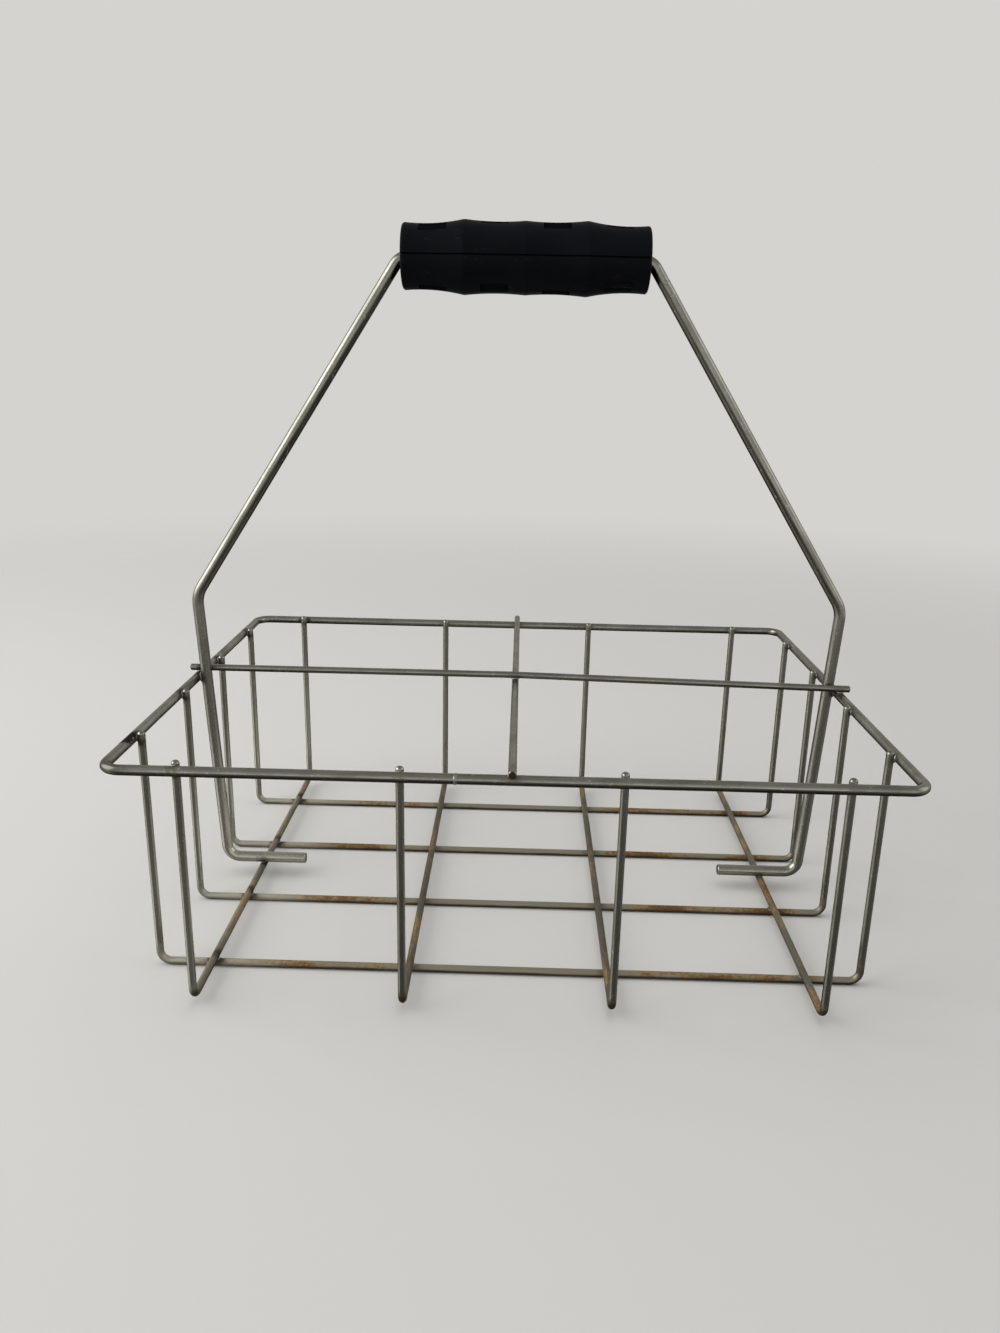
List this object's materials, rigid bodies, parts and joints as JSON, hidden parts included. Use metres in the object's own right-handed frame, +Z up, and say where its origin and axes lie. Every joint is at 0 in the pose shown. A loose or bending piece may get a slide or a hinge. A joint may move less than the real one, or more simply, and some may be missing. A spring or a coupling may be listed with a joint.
{
  "type": "bottle caddy",
  "caption": "Welded-wire bottle caddy: a rectangular basket with crossed divider wires, a fixed bail handle and a contoured plastic grip that spins on the handle's top bar.",
  "frame": {"origin": "on the ground, under the middle of the basket", "axes": "+X to the right along the handle's top bar, +Y to the back, +Z up"},
  "size_m": [0.3346, 0.2558, 0.328],
  "materials": {
    "zinc_wire": "dull zinc-plated steel wire, worn bright on bends and ends",
    "basket_wire": "zinc-plated steel wire with brown rust stains on the floor of the basket",
    "grip_plastic": "satin black moulded plastic"
  },
  "bodies": {
    "frame": {"rim_wire": "zinc_wire", "long_basket_wire_1": "basket_wire", "long_basket_wire_2": "basket_wire", "long_basket_wire_3": "basket_wire", "long_basket_wire_4": "basket_wire", "short_basket_wire_1": "basket_wire", "short_basket_wire_2": "basket_wire", "short_basket_wire_3": "basket_wire", "short_basket_wire_4": "basket_wire", "long_divider_wire": "zinc_wire", "short_divider_wire": "zinc_wire", "handle_wire": "zinc_wire"},
    "grip": {"grip_upper_half": "grip_plastic", "grip_lower_half": "grip_plastic"}
  },
  "joints": [
    {"name": "grip_spin", "type": "hinge", "parent": "frame", "child": "grip", "pos_m": [0, 0, 0.31205], "axis": [1, 0, 0], "continuous": true}
  ]
}
